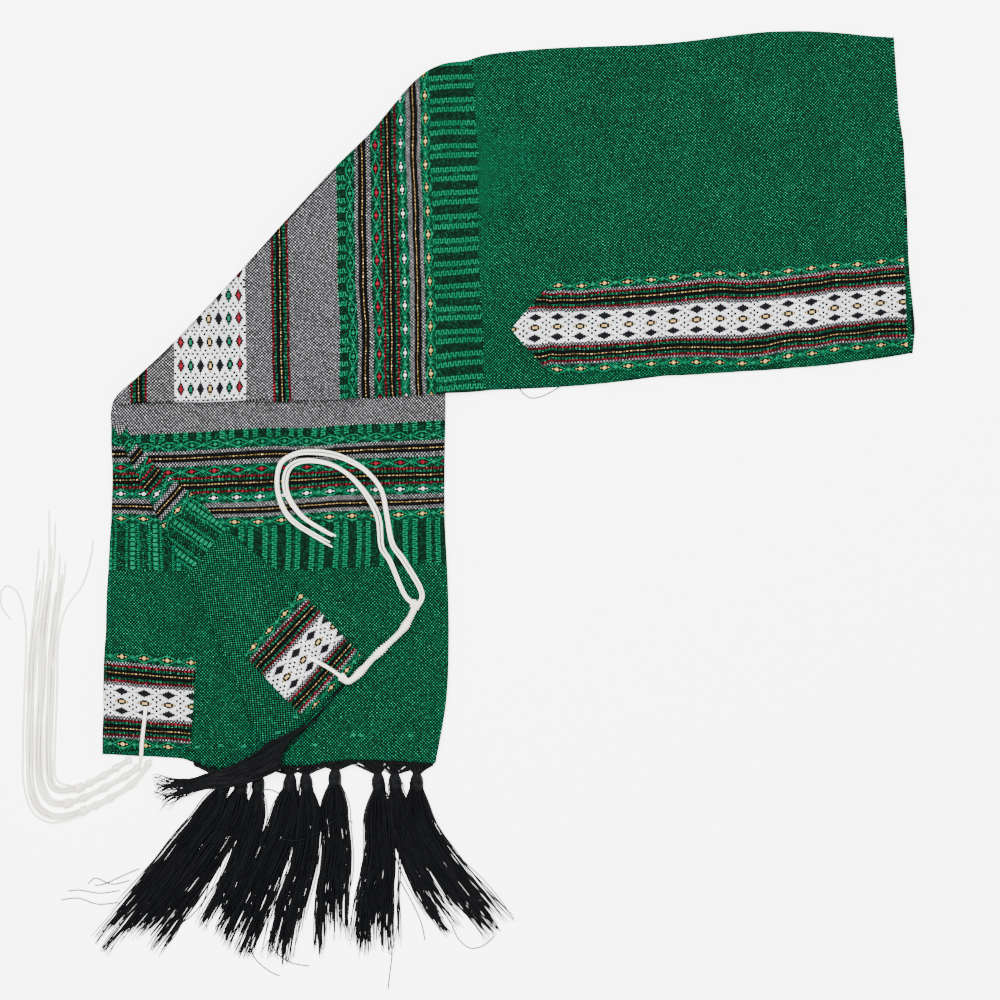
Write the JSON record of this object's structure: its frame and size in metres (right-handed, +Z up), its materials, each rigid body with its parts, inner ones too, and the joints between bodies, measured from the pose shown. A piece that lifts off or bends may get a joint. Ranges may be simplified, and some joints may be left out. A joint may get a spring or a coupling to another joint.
{
  "type": "folded tallit prayer shawl",
  "caption": "Woven striped prayer shawl folded flat in an L, with a neckband, corner patches, knotted corner strings and a black tasselled fringe.",
  "frame": {"origin": "middle of the folded shawl's outline seen from above, on the surface that it lies on", "axes": "+Z up from the surface; +X towards the crosswise fold of the upper arm; +Y away from the fringe"},
  "size_m": [0.7135, 0.7455, 0.0166],
  "materials": {
    "green_cloth": "matt handwoven cotton, black warp and coloured weft",
    "band_cloth": "matt patterned woven band",
    "black_thread": "smooth black fringe thread with a slight sheen",
    "ivory_string": "matt twisted wool string"
  },
  "bodies": {
    "root": {"corner_patch_flap": "band_cloth", "corner_patch_left": "band_cloth", "corner_strings_flap": "ivory_string", "corner_strings_left_1": "ivory_string", "corner_strings_left_2": "ivory_string", "corner_strings_left_3": "ivory_string", "fringe_tassel_flap": "black_thread", "fringe_tassel_left_1": "black_thread", "fringe_tassel_left_2": "black_thread", "fringe_tassel_left_3": "black_thread", "fringe_tassel_middle_1": "black_thread", "fringe_tassel_middle_2": "black_thread", "fringe_tassel_middle_3": "black_thread", "fringe_tassel_right_1": "black_thread", "fringe_tassel_right_2": "black_thread", "fringe_tassel_right_3": "black_thread", "hem_flap": "black_thread", "hem_left": "black_thread", "hem_right": "black_thread", "neckband": "band_cloth", "shawl_corner_flap": "green_cloth", "shawl_lower_layers": "green_cloth", "shawl_lower_leaf": "green_cloth", "shawl_upper_arm": "green_cloth"}
  },
  "joints": []
}
